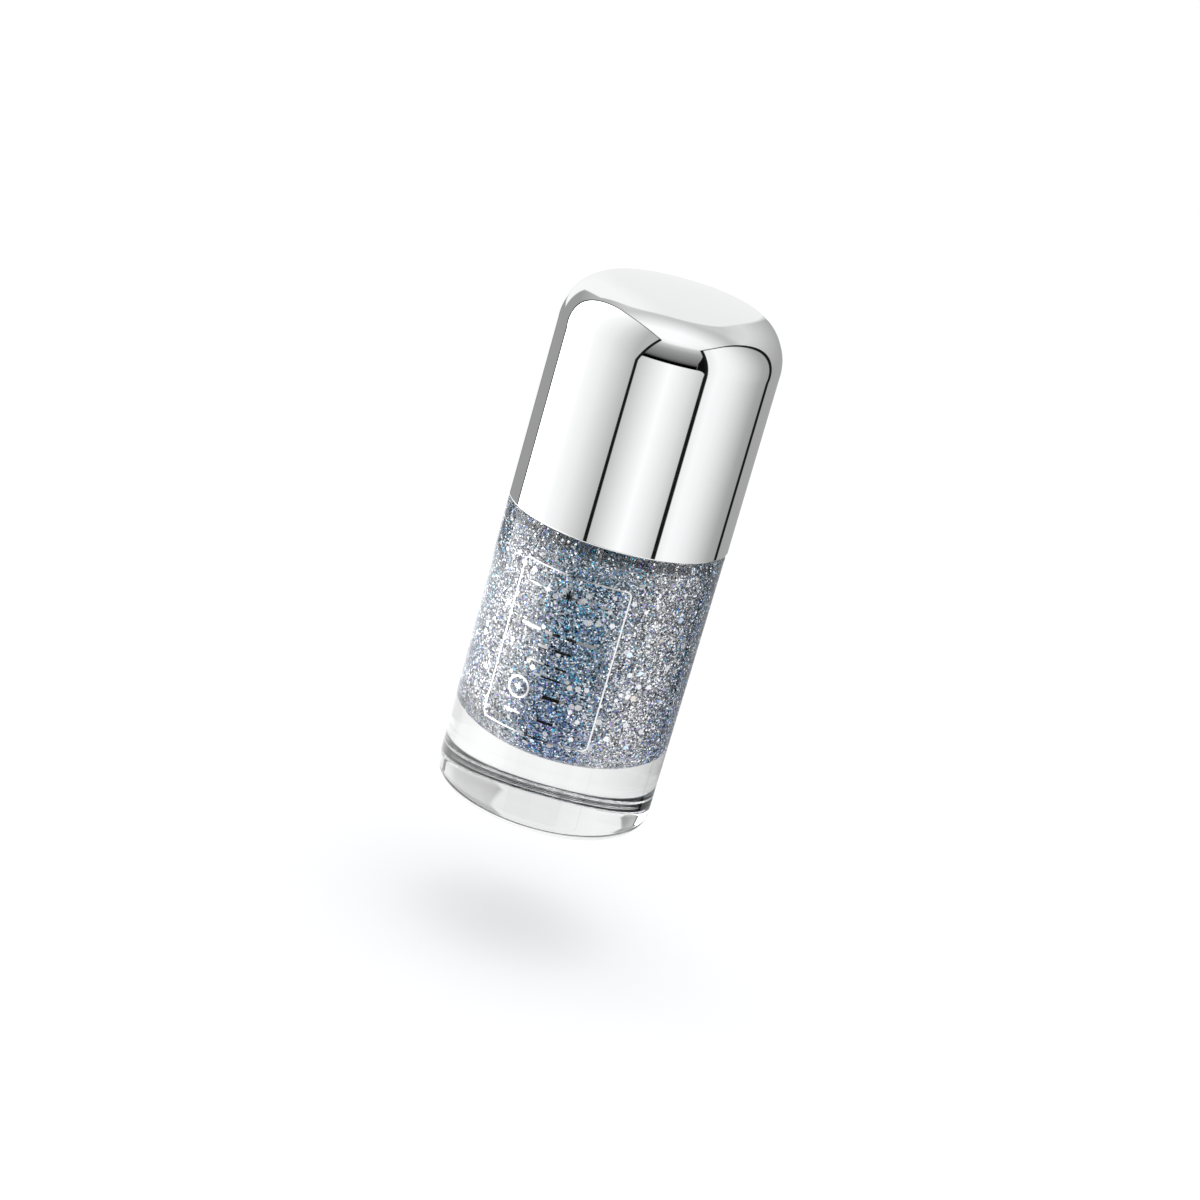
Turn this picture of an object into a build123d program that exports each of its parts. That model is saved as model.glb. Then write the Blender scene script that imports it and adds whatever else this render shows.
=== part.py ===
"""Round 10 ml nail polish bottle with a screw cap that carries the brush.

Frame: origin at the centre of the base, +Z up, the printed side faces -Y.
The cap is drawn screwed shut.
"""
from build123d import *
import math
import os

# ---- Driving dimensions, mm -------------------------------------------------

# Glass bottle, outside
bottle_radius = 13.35
shoulder_height = 36.5
base_corner = 2.3
shoulder_corner = 0.8
bearing_ring_radius = 10.4
push_up = 0.35

# Glass bottle, inside
cavity_radius = 11.55
cavity_floor = 8.4
cavity_ceiling = 35.0
cavity_floor_corner = 6.0
cavity_ceiling_corner = 1.6
bore_radius = 3.9
bore_corner = 0.9

# Neck finish, 13-415: 13 mm screw thread, 12 threads to the inch
finish_height = 11.2
neck_root_radius = 5.75
neck_foot_fillet = 0.8
rim_corner = 0.5
thread_radius = 6.475
thread_pitch = 25.4 / 12
thread_turns = 2.0
thread_start = 41.0
thread_root_width = 1.5
thread_crest_width = 0.5
thread_bury = 0.35

# Closure thread, cut to run clear of the neck thread
thread_clearance = 0.13
closure_root_width = 1.2
closure_crest_width = 0.4

# Overcap, a drafted shell with a domed top
cap_edge_radius = 13.5
cap_top_radius = 13.38
cap_gap = 0.2
total_height = 65.6
dome_rise = 1.6
cap_corner = 6.4
cap_wall = 1.3
cap_roof = 1.6
cap_lip = 0.2

# Socket inside the overcap that grips the closure
socket_radius = 8.2
socket_wall = 1.0
socket_foot = 41.0
socket_webs = 6
web_width = 1.0
web_foot = 50.0

# Closure, the threaded inner cap
closure_radius = 8.0
closure_foot = 37.2
closure_roof = 1.3
closure_corner = 0.3
grip_ribs = 24
grip_rib_radius = 0.35
grip_rib_circle = 7.87
collar_radius = 4.6
collar_wall = 1.0
collar_height = 2.6

# Sealing liner, a soft ring on the rim
liner_radius = 6.2
liner_bore = 2.9
liner_thickness = 1.0
liner_gap = 0.04

# Brush stem
flange_radius = 3.55
flange_thickness = 1.2
shank_radius = 2.1
shank_straight = 5.0
waist_radius = 1.55
ferrule_radius = 1.8
ferrule_length = 5.0
stem_foot = 26.6
stem_corner = 0.3
tuft_hole_radius = 1.15
tuft_hole_depth = 3.2

# Bristle tuft and its anchor
tuft_root_radius = 1.12
tuft_belly_radius = 1.85
tuft_belly_height = 19.5
tuft_end_radius = 1.45
tuft_end_rise = 0.9
tuft_tip = 13.4
staple_width = 2.5
staple_height = 1.3
staple_thickness = 0.3
staple_play = 0.02

# Lacquer and the steel balls that stir it
wall_film = 0.02
fill_height = 36.2
brush_well_radius = 2.35
brush_well_floor = 12.6
ball_radius = 2.25
ball_circle = 5.4
ball_angles = (155, 265)
ball_film = 0.03

# Large glitter flakes, hanging in the lacquer just inside the glass
flake_radius = 0.5
flake_thickness = 0.05
flake_film = 0.005
flake_circle = 11.3
flake_count = 48
flake_low = 14.8
flake_high = 32.4
golden_angle = 137.508

# Foil print, pressed on the front of the glass
foil_thickness = 0.05
frame_width = 13.4
frame_height = 20.4
frame_corner = 0.7
frame_line = 0.17
frame_centre = 22.3
sparkle_height = 29.9
# each sparkle: centre across the print, height above the base, length of its long rays
sparkles = ((0.0, sparkle_height, 1.4), (-2.7, sparkle_height, 0.8), (2.7, sparkle_height, 0.8),
            (-3.0, 17.4, 0.75))
sparkle_rays = 8
short_ray = 0.55
ray_foot = 0.22
flourish_inner = 3.7
flourish_outer = 5.5
flourish_swell = 0.35
flourish_height = 0.3
# each bar: centre across the print, height above the base, length, thickness
print_bars = (
    (-3.5, 25.0, 2.6, 0.36), (-0.7, 25.0, 2.0, 0.36), (2.8, 25.0, 3.6, 0.36),
    (-1.3, 23.2, 1.6, 0.36), (1.1, 23.2, 2.2, 0.36),
    (-1.2, 21.2, 2.6, 0.24), (1.4, 21.2, 1.4, 0.24),
    (0.0, 19.7, 3.6, 0.24),
    (1.4, 17.4, 2.6, 0.44),
    (-3.0, 14.4, 2.2, 0.24), (1.2, 14.4, 2.0, 0.36),
)
ring_centre = (-3.0, 17.4)
ring_outer = 1.4
ring_inner = 1.14

# ---- Derived ----------------------------------------------------------------

rim_height = shoulder_height + finish_height
cap_edge = shoulder_height + cap_gap
liner_bottom = rim_height + liner_gap
liner_top = liner_bottom + liner_thickness
closure_ceiling = liner_top + liner_gap
closure_top = closure_ceiling + closure_roof
closure_bore = thread_radius + thread_clearance
closure_crest = neck_root_radius + thread_clearance
flange_top = closure_top + flange_thickness
stem_hole_top = stem_foot + tuft_hole_depth
tuft_top = stem_hole_top - staple_play
push_up_sphere = (bearing_ring_radius**2 + push_up**2) / (2 * push_up)
print_skin_radius = bottle_radius + foil_thickness
flourish_widest = flourish_inner + flourish_swell


# ---- Shapes used more than once ---------------------------------------------


def screw_ridge(root_radius, crest_radius, root_width, crest_width, start):
    """Helical ridge with a trapezoid section, its root buried in the wall it stands on."""
    flare = (root_width - crest_width) / abs(crest_radius - root_radius)
    buried_radius = root_radius + math.copysign(thread_bury, root_radius - crest_radius)
    buried_width = root_width + flare * thread_bury
    with BuildPart() as ridge:
        with BuildLine():
            Helix(thread_pitch, thread_pitch * thread_turns, buried_radius, center=(0, 0, start))
        with BuildSketch(Plane.XZ):
            with BuildLine():
                Polyline(
                    (buried_radius, start - buried_width / 2),
                    (crest_radius, start - crest_width / 2),
                    (crest_radius, start + crest_width / 2),
                    (buried_radius, start + buried_width / 2),
                    close=True,
                )
            make_face()
        sweep(is_frenet=True)
    return ridge.part


def cavity_form(film, top):
    """The inside of the bottle, drawn in by film all round and ending at the height top."""
    ceiling = cavity_ceiling - film
    with BuildPart() as form:
        with BuildSketch(Plane.XY.offset(cavity_floor + film)):
            Circle(cavity_radius - film)
        extrude(amount=ceiling - cavity_floor - film)
        rings = form.edges().filter_by(GeomType.CIRCLE).sort_by(Axis.Z)
        fillet(rings[0], cavity_floor_corner - film)
        fillet(rings[-1], cavity_ceiling_corner - film)
        with BuildSketch(Plane.XY.offset(ceiling)):
            Circle(bore_radius - film)
        extrude(amount=top - ceiling)
        at_ceiling = form.edges().filter_by(GeomType.CIRCLE).filter_by(
            lambda edge: abs(edge.center().Z - ceiling) < bore_corner / 2
        )
        fillet(at_ceiling.sort_by(SortBy.RADIUS)[0], bore_corner + film)
    return form.part


def cap_form(edge_radius, top_radius, foot, top, corner):
    """A drafted round block with a domed top and a generous corner."""
    with BuildPart() as form:
        with BuildSketch(Plane.XZ) as half:
            with BuildLine():
                Line((0, foot), (edge_radius, foot))
                Line((edge_radius, foot), (top_radius, top - dome_rise))
                TangentArc((0, top), (top_radius, top - dome_rise), tangent=(1, 0))
                Line((0, top), (0, foot))
            make_face()
            fillet(half.vertices().sort_by(Axis.Y)[-2], corner)
        revolve(axis=Axis.Z)
    return form.part


def sparkle_outline(across, height, reach):
    """Points of a sparkle: long and short rays in turn, with a notch between each two."""
    points = []
    for step in range(2 * sparkle_rays):
        turn = math.pi * step / sparkle_rays
        if step % 2:
            distance = ray_foot * reach
        elif step % 4:
            distance = short_ray * reach
        else:
            distance = reach
        points.append((across + distance * math.cos(turn), height + distance * math.sin(turn)))
    return points


# ---- Glass bottle -----------------------------------------------------------

neck_thread = screw_ridge(
    neck_root_radius, thread_radius, thread_root_width, thread_crest_width, thread_start
)

with BuildPart() as glass_bottle:
    with BuildSketch():
        Circle(bottle_radius)
    extrude(amount=shoulder_height)
    ends = glass_bottle.edges().filter_by(GeomType.CIRCLE).sort_by(Axis.Z)
    fillet(ends[0], base_corner)
    fillet(ends[-1], shoulder_corner)
    with BuildSketch(Plane.XY.offset(shoulder_height)):
        Circle(neck_root_radius)
    extrude(amount=finish_height)
    neck_rings = glass_bottle.edges().filter_by(GeomType.CIRCLE).filter_by(
        lambda edge: abs(edge.radius - neck_root_radius) < rim_corner
    )
    fillet(neck_rings.sort_by(Axis.Z)[0], neck_foot_fillet)
    fillet(neck_rings.sort_by(Axis.Z)[-1], rim_corner)
    add(neck_thread)
    add(cavity_form(0, rim_height), mode=Mode.SUBTRACT)
    with Locations((0, 0, push_up - push_up_sphere)):
        Sphere(push_up_sphere, mode=Mode.SUBTRACT)

# ---- Lacquer with its flakes and steel balls --------------------------------

ball_places = [
    (
        ball_circle * math.cos(math.radians(angle)),
        ball_circle * math.sin(math.radians(angle)),
        cavity_floor + ball_radius + ball_film,
    )
    for angle in ball_angles
]

with BuildPart() as mixing_balls:
    with Locations(*ball_places):
        Sphere(ball_radius)

flake_planes = []
for number in range(flake_count):
    turn = math.radians(number * golden_angle)
    outward = (math.cos(turn), math.sin(turn), 0)
    height = flake_low + (flake_high - flake_low) * number / (flake_count - 1)
    centre = (flake_circle * outward[0], flake_circle * outward[1], height)
    flake_planes.append(Plane(origin=centre, z_dir=outward))


def flake_group(film):
    """All the large flakes, each grown by film on every side."""
    with BuildPart() as flakes:
        with BuildSketch(*flake_planes):
            RegularPolygon(flake_radius + film, 6)
        extrude(amount=flake_thickness / 2 + film, both=True)
    return flakes.part


with BuildPart() as glitter_flakes:
    add(flake_group(0))

with BuildPart() as polish:
    add(cavity_form(wall_film, fill_height))
    with Locations(*ball_places):
        Sphere(ball_radius + ball_film / 2, mode=Mode.SUBTRACT)
    add(flake_group(flake_film), mode=Mode.SUBTRACT)
    # the brush stands in this well, and rises through it
    with BuildSketch(Plane.XY.offset(brush_well_floor)):
        Circle(brush_well_radius)
    extrude(amount=fill_height - brush_well_floor, mode=Mode.SUBTRACT)

# ---- Foil print -------------------------------------------------------------

with BuildPart() as print_skin:
    with BuildSketch():
        Circle(print_skin_radius)
        Circle(bottle_radius, mode=Mode.SUBTRACT)
    extrude(amount=shoulder_height)

with BuildPart() as foil_frame:
    with BuildSketch(Plane.XZ):
        with Locations((0, frame_centre)):
            RectangleRounded(frame_width, frame_height, frame_corner)
            RectangleRounded(
                frame_width - 2 * frame_line,
                frame_height - 2 * frame_line,
                frame_corner - frame_line,
                mode=Mode.SUBTRACT,
            )
    extrude(amount=print_skin_radius)
    add(print_skin.part, mode=Mode.INTERSECT)

with BuildSketch() as print_ring:
    Circle(ring_outer)
    Circle(ring_inner, mode=Mode.SUBTRACT)

with BuildPart() as foil_marks:
    with BuildSketch(Plane.XZ):
        # sparkles with long and short rays in turn
        for across, height, reach in sparkles:
            with BuildLine():
                Polyline(*sparkle_outline(across, height, reach), close=True)
            make_face()
        # tapered flourish each side of the sparkles
        for side in (-1, 1):
            with BuildLine():
                Polyline(
                    (side * flourish_inner, sparkle_height),
                    (side * flourish_widest, sparkle_height + flourish_height / 2),
                    (side * flourish_outer, sparkle_height),
                    (side * flourish_widest, sparkle_height - flourish_height / 2),
                    close=True,
                )
            make_face()
        # plain bars in rows
        for across, height, length, thickness in print_bars:
            with Locations((across, height)):
                SlotOverall(length, thickness)
        # ring, drawn last so that it leaves the sparkle inside it whole
        with Locations(ring_centre):
            add(print_ring.sketch)
    extrude(amount=print_skin_radius)
    add(print_skin.part, mode=Mode.INTERSECT)

# ---- Sealing liner ----------------------------------------------------------

with BuildPart() as sealing_liner:
    with BuildSketch(Plane.XY.offset(liner_bottom)):
        Circle(liner_radius)
        Circle(liner_bore, mode=Mode.SUBTRACT)
    extrude(amount=liner_thickness)

# ---- Overcap ----------------------------------------------------------------

with BuildPart() as cap_pocket:
    add(
        cap_form(
            cap_edge_radius - cap_wall,
            cap_top_radius - cap_wall,
            cap_edge,
            total_height - cap_roof,
            cap_corner - cap_wall,
        )
    )
    # the socket's wall is left standing
    with BuildSketch(Plane.XY.offset(socket_foot)):
        Circle(socket_radius + socket_wall)
        Circle(socket_radius, mode=Mode.SUBTRACT)
    extrude(amount=total_height - socket_foot, mode=Mode.SUBTRACT)
    # so are the webs that tie it to the shell
    with BuildSketch(Plane.XY.offset(web_foot)):
        with PolarLocations((socket_radius + cap_edge_radius) / 2, socket_webs):
            Rectangle(cap_edge_radius - socket_radius, web_width)
    extrude(amount=total_height - web_foot, mode=Mode.SUBTRACT)

with BuildPart() as overcap:
    add(cap_form(cap_edge_radius, cap_top_radius, cap_edge, total_height, cap_corner))
    add(cap_pocket.part, mode=Mode.SUBTRACT)
    fillet(
        overcap.edges().filter_by(GeomType.CIRCLE).filter_by_position(
            Axis.Z, cap_edge - cap_lip, cap_edge + cap_lip
        ),
        cap_lip,
    )

# ---- Closure ----------------------------------------------------------------

closure_thread = screw_ridge(
    closure_bore,
    closure_crest,
    closure_root_width,
    closure_crest_width,
    thread_start - thread_pitch / 2,
)

with BuildPart() as inner_cap:
    with BuildSketch(Plane.XY.offset(closure_foot)):
        Circle(closure_radius)
    extrude(amount=closure_top - closure_foot)
    fillet(
        inner_cap.edges().filter_by(GeomType.CIRCLE).sort_by(Axis.Z)[-1],
        closure_corner,
    )
    # ribs that bite into the socket
    with BuildSketch(Plane.XY.offset(socket_foot)):
        with PolarLocations(grip_rib_circle, grip_ribs):
            Circle(grip_rib_radius)
    extrude(amount=closure_ceiling - socket_foot)
    # collar round the brush's flange
    with BuildSketch(Plane.XY.offset(closure_top)):
        Circle(collar_radius)
        Circle(collar_radius - collar_wall, mode=Mode.SUBTRACT)
    extrude(amount=collar_height)
    # threaded bore and the hole for the shank
    with BuildSketch(Plane.XY.offset(closure_foot)):
        Circle(closure_bore)
    extrude(amount=closure_ceiling - closure_foot, mode=Mode.SUBTRACT)
    with BuildSketch(Plane.XY.offset(closure_ceiling)):
        Circle(shank_radius)
    extrude(amount=closure_roof, mode=Mode.SUBTRACT)
    add(closure_thread)

# ---- Brush ------------------------------------------------------------------

with BuildPart() as brush_stem:
    with BuildSketch(Plane.XZ):
        with BuildLine():
            Polyline(
                (0, stem_foot),
                (ferrule_radius, stem_foot),
                (ferrule_radius, stem_foot + ferrule_length),
                (waist_radius, stem_foot + ferrule_length + ferrule_radius - waist_radius),
                (shank_radius, closure_ceiling - shank_straight),
                (shank_radius, closure_top),
                (flange_radius, closure_top),
                (flange_radius, flange_top),
                (0, flange_top),
                close=True,
            )
        make_face()
    revolve(axis=Axis.Z)
    with BuildSketch(Plane.XY.offset(stem_foot)):
        Circle(tuft_hole_radius)
    extrude(amount=tuft_hole_depth, mode=Mode.SUBTRACT)
    foot_rings = brush_stem.edges().filter_by(GeomType.CIRCLE).group_by(Axis.Z)[0]
    fillet(foot_rings.sort_by(SortBy.RADIUS)[-1], stem_corner)

staple_centre = (0, 0, stem_hole_top - staple_height / 2 - staple_play)

with BuildPart() as bristle_staple:
    with Locations(staple_centre):
        Box(staple_width, staple_thickness, staple_height)

with BuildPart() as bristle_tuft:
    with BuildSketch(Plane.XZ):
        with BuildLine():
            Line((0, tuft_top), (tuft_root_radius, tuft_top))
            Line((tuft_root_radius, tuft_top), (tuft_root_radius, stem_foot))
            Spline(
                (tuft_root_radius, stem_foot),
                (tuft_belly_radius, tuft_belly_height),
                (tuft_end_radius, tuft_tip + tuft_end_rise),
                (0, tuft_tip),
                tangents=((0, -1), (-1, 0)),
            )
            Line((0, tuft_tip), (0, tuft_top))
        make_face()
    revolve(axis=Axis.Z)
    with Locations(staple_centre):
        Box(
            staple_width,
            staple_thickness + 2 * staple_play,
            staple_height + 2 * staple_play,
            mode=Mode.SUBTRACT,
        )

# ---- Write each piece -------------------------------------------------------

pieces = {
    "glass_bottle": glass_bottle,
    "polish": polish,
    "glitter_flakes": glitter_flakes,
    "mixing_balls": mixing_balls,
    "foil_frame": foil_frame,
    "foil_marks": foil_marks,
    "sealing_liner": sealing_liner,
    "overcap": overcap,
    "inner_cap": inner_cap,
    "brush_stem": brush_stem,
    "bristle_staple": bristle_staple,
    "bristle_tuft": bristle_tuft,
}

os.makedirs("parts", exist_ok=True)
for label, piece in pieces.items():
    piece.part.label = label
    export_step(piece.part, f"parts/{label}.step")
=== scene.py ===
"""Looks of the nail polish bottle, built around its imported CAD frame. Lengths are in millimetres."""
import math
import random

import bpy
from mathutils import Matrix, Vector


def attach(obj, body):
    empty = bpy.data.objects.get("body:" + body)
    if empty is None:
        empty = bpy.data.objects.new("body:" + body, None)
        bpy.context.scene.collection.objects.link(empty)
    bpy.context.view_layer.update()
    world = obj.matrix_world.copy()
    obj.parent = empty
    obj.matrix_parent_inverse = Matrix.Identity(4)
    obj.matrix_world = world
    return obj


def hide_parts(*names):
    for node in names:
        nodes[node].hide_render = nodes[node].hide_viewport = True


MM = 0.001
SEGMENTS = 256          # sides of a lathe mesh
ARC_PITCH = 0.15        # longest step round a small corner
TINY = 1e-6

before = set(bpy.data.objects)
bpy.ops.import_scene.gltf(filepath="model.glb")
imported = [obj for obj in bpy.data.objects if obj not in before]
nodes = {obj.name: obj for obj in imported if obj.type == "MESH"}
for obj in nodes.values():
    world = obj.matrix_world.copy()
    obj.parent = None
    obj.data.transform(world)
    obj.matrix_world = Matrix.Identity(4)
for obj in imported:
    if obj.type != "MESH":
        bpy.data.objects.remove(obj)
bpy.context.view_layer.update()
random.seed(20)

# ---- Dimensions shared with the CAD, mm ---------------------------------------

BOTTLE_R, SHOULDER_Z, BASE_CORNER, SHOULDER_CORNER = 13.35, 36.5, 2.3, 0.8
RING_R, PUSH_UP = 10.4, 0.35
CAVITY_R, FLOOR_Z, CEILING_Z, BORE_R = 11.55, 8.4, 35.0, 3.9
FLOOR_CORNER, CEILING_CORNER, BORE_CORNER = 6.0, 1.6, 0.9
RIM_Z, NECK_R, NECK_FILLET, RIM_CORNER, BORE_RIM = 47.7, 5.75, 0.8, 0.5, 0.4
THREAD_R, PITCH, TURNS, THREAD_Z = 6.475, 25.4 / 12, 2.0, 41.0
THREAD_HALF, THREAD_FLANK, THREAD_FADE, NECK_PITCH = 0.78, 0.5, 0.10, 0.22
FILL_Z = 36.2
CAP_EDGE_R, CAP_TOP_R, CAP_EDGE_Z, TOP_Z = 13.5, 13.38, 36.7, 65.6
DOME_RISE, CAP_CORNER, CAP_WALL, CAP_ROOF, CAP_LIP = 1.6, 6.4, 1.3, 1.6, 0.2
SOCKET_R, SOCKET_WALL, SOCKET_Z, SOCKET_RIM = 8.2, 1.0, 41.0, 0.15
WEBS, WEB_Z, WEB_W, WEB_BURY, WEB_BEVEL = 6, 50.0, 1.0, 0.3, 0.12
FOIL, FOIL_BURY = 0.05, 0.02

# ---- Where the lacquer changes colour ------------------------------------------

BLUE_CENTRE, BLUE_PATCHES = 9.0, 4      # degrees round from the print, and how many patches round the bottle
BLUE_MEAN, BLUE_SWING = 0.52, 0.42
VIOLET_TOP, VIOLET_FULL = 22.0, 13.0    # violet comes in below the first height and is full at the second
PAINTED_LIGHT_Z = 12.8                        # painted light: pale glitter below this, at the back
PAINTED_LIGHT_FROM = 105                      # painted light beyond this, in degrees round from the print
INSIDE_GAIN = 1.65                      # how much brighter the lamps look to what is inside the glass

# ---- Outlines: runs of (r, z, normal r, normal z), solid on the left of travel ---


def line(p, q, pitch=0.6):
    """A straight run from p to q."""
    dr, dz = q[0] - p[0], q[1] - p[1]
    length = math.hypot(dr, dz)
    count = max(1, int(math.ceil(length / pitch)))
    nr, nz = dz / length, -dr / length
    return [(p[0] + dr * i / count, p[1] + dz * i / count, nr, nz) for i in range(count + 1)]


def arc(centre, radius, start, end, count=24):
    """An arc about centre from angle start to end, in radians."""
    out = 1 if end > start else -1
    run = []
    for i in range(count + 1):
        a = start + (end - start) * i / count
        run.append((centre[0] + radius * math.cos(a), centre[1] + radius * math.sin(a),
                    out * math.cos(a), out * math.sin(a)))
    return run


def rounded(corners, pitch=0.6, count=16):
    """Straight runs through corners (r, z, radius), each corner rounded by a tangent arc."""
    runs = []
    here = Vector(corners[0][:2])
    for i in range(1, len(corners) - 1):
        corner, radius = Vector(corners[i][:2]), corners[i][2]
        into = (corner - Vector(corners[i - 1][:2])).normalized()
        away = (Vector(corners[i + 1][:2]) - corner).normalized()
        turn = math.atan2(into.x * away.y - into.y * away.x, into.dot(away))
        if radius <= 0 or abs(turn) < TINY:
            runs.append(line(here, corner, pitch))
            here = corner
            continue
        reach = radius * math.tan(abs(turn) / 2)
        first, last = corner - into * reach, corner + away * reach
        side = 1 if turn > 0 else -1
        centre = first + Vector((-into.y, into.x)) * radius * side
        start = math.atan2(first.y - centre.y, first.x - centre.x)
        if (first - here).length > TINY:
            runs.append(line(here, first, pitch))
        steps = min(count, max(8, math.ceil(radius * abs(turn) / ARC_PITCH)))
        runs.append(arc(centre, radius, start, start + turn, steps))
        here = last
    end = Vector(corners[-1][:2])
    if (end - here).length > TINY:
        runs.append(line(here, end, pitch))
    return runs


def new_object(name, verts, faces):
    mesh = bpy.data.meshes.new(name)
    mesh.from_pydata([(x * MM, y * MM, z * MM) for x, y, z in verts], [], faces)
    mesh.update()
    obj = bpy.data.objects.new(name, mesh)
    bpy.context.scene.collection.objects.link(obj)
    return obj


def lathe(name, runs, segments=SEGMENTS, push=None, pushed_run=None):
    """A revolved solid with the outline's own normals. push(angle, z) moves the pushed run outwards.

    Returns the object and, for each face, the run that it comes from.
    """
    verts, faces, normals, face_runs = [], [], [], []
    rings = []
    previous = None
    for number, run in enumerate(runs):
        indices = []
        for place, (r, z, _, _) in enumerate(run):
            if place == 0 and previous is not None:
                indices.append(previous)
                continue
            if r < TINY:
                indices.append([len(verts)])
                verts.append((0, 0, z))
                continue
            ring = []
            for j in range(segments):
                a = 2 * math.pi * j / segments
                extra = push(a, z) if number == pushed_run else 0
                ring.append(len(verts))
                verts.append(((r + extra) * math.cos(a), (r + extra) * math.sin(a), z))
            indices.append(ring)
        rings.append(indices)
        previous = indices[-1]
    for number, run in enumerate(runs):
        for i in range(len(run) - 1):
            low, high = rings[number][i], rings[number][i + 1]
            a, b = run[i], run[i + 1]
            if len(low) == 1 and len(high) == 1:
                continue
            for j in range(segments):
                k = (j + 1) % segments
                angle_j, angle_k = 2 * math.pi * j / segments, 2 * math.pi * (j + 1) / segments
                middle = (angle_j + angle_k) / 2
                if len(low) == 1:
                    corners = [(low[0], a, middle), (high[k], b, angle_k), (high[j], b, angle_j)]
                elif len(high) == 1:
                    corners = [(low[j], a, angle_j), (low[k], a, angle_k), (high[0], b, middle)]
                else:
                    corners = [(low[j], a, angle_j), (low[k], a, angle_k),
                               (high[k], b, angle_k), (high[j], b, angle_j)]
                faces.append([c[0] for c in corners])
                for _, p, angle in corners:
                    if number == pushed_run:
                        normals.append((0, 0, 0))
                    else:
                        normals.append((p[2] * math.cos(angle), p[2] * math.sin(angle), p[3]))
                face_runs.append(number)
    obj = new_object(name, verts, faces)
    mesh = obj.data
    mesh.polygons.foreach_set("use_smooth", [True] * len(mesh.polygons))
    mesh.normals_split_custom_set(normals)
    return obj, face_runs


def material(name):
    mat = bpy.data.materials.new(name)
    mat.use_nodes = True
    tree = mat.node_tree
    return mat, tree, tree.nodes["Principled BSDF"]


def node(tree, kind, **settings):
    made = tree.nodes.new(kind)
    for key, value in settings.items():
        setattr(made, key, value)
    return made


class Wire:
    """Arithmetic on node sockets: each operation adds a Math node."""

    def __init__(self, tree, socket):
        self.tree, self.socket = tree, socket

    def math(self, operation, *others, clamp=False):
        made = self.tree.nodes.new("ShaderNodeMath")
        made.operation, made.use_clamp = operation, clamp
        for place, value in enumerate((self, *others)):
            if isinstance(value, Wire):
                self.tree.links.new(value.socket, made.inputs[place])
            else:
                made.inputs[place].default_value = value
        return Wire(self.tree, made.outputs[0])

    def __add__(self, other):
        return self.math("ADD", other)

    def __radd__(self, other):
        return self.math("ADD", other)

    def __sub__(self, other):
        return self.math("SUBTRACT", other)

    def __rsub__(self, other):
        return self.math("MULTIPLY", -1.0).math("ADD", other)

    def __mul__(self, other):
        return self.math("MULTIPLY", other)

    def __rmul__(self, other):
        return self.math("MULTIPLY", other)

    def low(self, other):
        return self.math("MINIMUM", other)

    def high(self, other):
        return self.math("MAXIMUM", other)

    def over(self, edge, soft=0.4):
        """1 where this is above edge, 0 below, with a soft step. edge may be a wire."""
        return ((self - edge) * (1 / soft) + 0.5).math("MULTIPLY", 1.0, clamp=True)

    def under(self, edge, soft=0.4):
        """1 where this is below edge, 0 above, with a soft step."""
        return ((edge - self) * (1 / soft) + 0.5).math("MULTIPLY", 1.0, clamp=True)

    def ramp(self, x0, y0, x1, y1):
        """Straight line from (x0, y0) to (x1, y1), held level outside."""
        made = self.tree.nodes.new("ShaderNodeMapRange")
        for place, value in enumerate((self, x0, x1, y0, y1)):
            if isinstance(value, Wire):
                self.tree.links.new(value.socket, made.inputs[place])
            else:
                made.inputs[place].default_value = value
        return Wire(self.tree, made.outputs[0])

    def steps(self, *points):
        """Broken line through points (x, y)."""
        total = points[0][1]
        for (x0, y0), (x1, y1) in zip(points, points[1:]):
            total = self.ramp(x0, 0.0, x1, y1 - y0) + total
        return total


def blend(below, above, mask):
    """above where mask is 1, below where it is 0."""
    return (above - below) * mask + below


# ---- Camera -------------------------------------------------------------------

AZIMUTH, ELEVATION, ROLL = math.radians(13.2), math.radians(17.0), math.radians(16.0)
TARGET = Vector((0, 0, 32.2))
DISTANCE, SENSOR, LENS = 311.6, 36.0, 78.66
AIM = Vector((0.00350877, 0.01746758, -1)).normalized()     # where the object stands in the picture

back = Vector((math.sin(AZIMUTH) * math.cos(ELEVATION), -math.cos(AZIMUTH) * math.cos(ELEVATION),
               math.sin(ELEVATION)))
level = Vector((math.cos(AZIMUTH), math.sin(AZIMUTH), 0))
rise = back.cross(level)
right = level * math.cos(ROLL) + rise * math.sin(ROLL)
up = rise * math.cos(ROLL) - level * math.sin(ROLL)
seen = right * AIM.x + up * AIM.y + back * AIM.z
turn = seen.rotation_difference(-back)
axes = [turn @ v for v in (right, up, back)]
cam = bpy.data.objects.new("camera", bpy.data.cameras.new("camera"))
bpy.context.scene.collection.objects.link(cam)
cam.data.sensor_width = SENSOR
cam.data.lens = LENS
cam.data.clip_start, cam.data.clip_end = 0.01, 20.0
place = Matrix.Translation((TARGET + back * DISTANCE) * MM)
cam.matrix_world = place @ Matrix(axes).transposed().to_4x4()
bpy.context.scene.camera = cam
bpy.context.scene.view_settings.view_transform = "Standard"

# ---- Studio: soft boxes painted on the world -----------------------------------

world = bpy.data.worlds.new("studio")
bpy.context.scene.world = world
world.use_nodes = True
wt = world.node_tree
for old in list(wt.nodes):
    wt.nodes.remove(old)
direction = node(wt, "ShaderNodeTexCoord")
split = node(wt, "ShaderNodeSeparateXYZ")
wt.links.new(direction.outputs["Generated"], split.inputs[0])
dx, dy, dz = (Wire(wt, split.outputs[i]) for i in range(3))
DEG = 180 / math.pi
ahead = dx * math.sin(AZIMUTH) + dy * -math.cos(AZIMUTH)
side = dx * math.cos(AZIMUTH) + dy * math.sin(AZIMUTH)
around = side.math("ARCTAN2", ahead) * DEG
height = dz.math("ARCSINE") * DEG


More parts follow.
